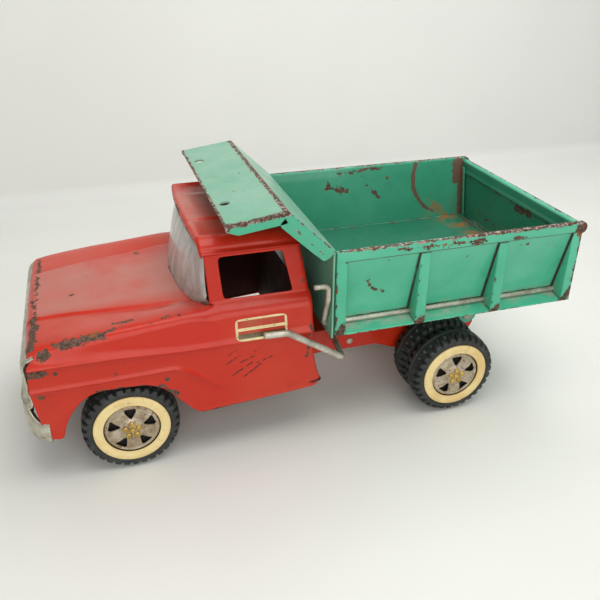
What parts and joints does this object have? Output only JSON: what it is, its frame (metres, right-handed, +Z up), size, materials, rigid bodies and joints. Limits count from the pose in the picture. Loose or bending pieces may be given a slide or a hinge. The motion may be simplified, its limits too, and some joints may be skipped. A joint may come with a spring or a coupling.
{
  "type": "toy dump truck",
  "caption": "Pressed-steel toy dump truck whose bed tips by a wire lever, with a top-hung tailgate, a latch rod and turning wheels.",
  "frame": {"origin": "on the ground under the centre of the overall box", "axes": "+X forward (grille end), +Y to the truck's left, +Z up"},
  "size_m": [0.3436, 0.148, 0.1554],
  "materials": {
    "red_enamel": "worn gloss enamel",
    "green_enamel": "worn satin enamel with rust chips",
    "nickel_plate": "dulled nickel plate",
    "plain_steel": "dull drawn wire",
    "hubcap_metal": "tarnished, rust speckled",
    "hub_core": "matt",
    "tyre_rubber": "matt rubber",
    "whitewall_vinyl": "yellowed satin vinyl",
    "clear_plastic": "cloudy clear plastic",
    "sticker_film": "aged sticker"
  },
  "bodies": {
    "chassis": {"chassis_frame": "red_enamel", "frame_crossmember": "red_enamel", "frame_rivets": "plain_steel", "bed_hinge_pin": "plain_steel", "lever_bracket": "red_enamel", "front_axle": "plain_steel", "rear_axle": "plain_steel", "cab_shell": "red_enamel", "cab_back_panel": "red_enamel", "windshield": "clear_plastic", "grille_bumper": "nickel_plate", "door_sticker_left": "sticker_film", "door_sticker_right": "sticker_film"},
    "bed": {"bed_floor": "green_enamel", "bed_side_left": "green_enamel", "bed_side_right": "green_enamel", "cab_shield": "green_enamel", "bed_subframe": "green_enamel", "lift_bracket": "green_enamel", "tailgate_hinge_rod": "plain_steel"},
    "tailgate": {"tailgate": "green_enamel"},
    "latch": {"latch_rod": "plain_steel"},
    "lever": {"dump_lever": "plain_steel"},
    "wheel_front_left": {"tyre_front_left": "tyre_rubber", "whitewall_front_left": "whitewall_vinyl", "hub_front_left": "hub_core", "hubcap_front_left": "hubcap_metal"},
    "wheel_rear_left": {"tyre_rear_outer_left": "tyre_rubber", "tyre_rear_inner_left": "tyre_rubber", "whitewall_rear_left": "whitewall_vinyl", "hub_rear_left": "hub_core", "hubcap_rear_left": "hubcap_metal"},
    "wheel_front_right": {"tyre_front_right": "tyre_rubber", "whitewall_front_right": "whitewall_vinyl", "hub_front_right": "hub_core", "hubcap_front_right": "hubcap_metal"},
    "wheel_rear_right": {"tyre_rear_outer_right": "tyre_rubber", "tyre_rear_inner_right": "tyre_rubber", "whitewall_rear_right": "whitewall_vinyl", "hub_rear_right": "hub_core", "hubcap_rear_right": "hubcap_metal"}
  },
  "joints": [
    {"name": "bed_tilt", "type": "hinge", "parent": "chassis", "child": "bed", "pos_m": [-0.122, 0, 0.0485], "axis": [0, -1, 0], "range_deg": [0, 45]},
    {"name": "lever_swing", "type": "hinge", "parent": "chassis", "child": "lever", "pos_m": [-0.022, 0, 0.0475], "axis": [0, 1, 0], "range_deg": [0, 50]},
    {"name": "tailgate_swing", "type": "hinge", "parent": "bed", "child": "tailgate", "pos_m": [-0.1675, 0, 0.1245], "axis": [0, 1, 0], "range_deg": [0, 90]},
    {"name": "latch_turn", "type": "hinge", "parent": "bed", "child": "latch", "pos_m": [-0.08, 0.0643, 0.079], "axis": [-1, 0, 0], "range_deg": [0, 90]},
    {"name": "wheel_front_left_spin", "type": "hinge", "parent": "chassis", "child": "wheel_front_left", "pos_m": [0.1137, 0.057, 0.0285], "axis": [0, 1, 0], "continuous": true},
    {"name": "wheel_front_right_spin", "type": "hinge", "parent": "chassis", "child": "wheel_front_right", "pos_m": [0.1137, -0.057, 0.0285], "axis": [0, 1, 0], "continuous": true},
    {"name": "wheel_rear_left_spin", "type": "hinge", "parent": "chassis", "child": "wheel_rear_left", "pos_m": [-0.0935, 0.052, 0.0285], "axis": [0, 1, 0], "continuous": true},
    {"name": "wheel_rear_right_spin", "type": "hinge", "parent": "chassis", "child": "wheel_rear_right", "pos_m": [-0.0935, -0.052, 0.0285], "axis": [0, 1, 0], "continuous": true}
  ],
  "couplings": [
    {"joint": "lever_swing", "follows": "bed_tilt", "ratio": 1.1111}
  ]
}
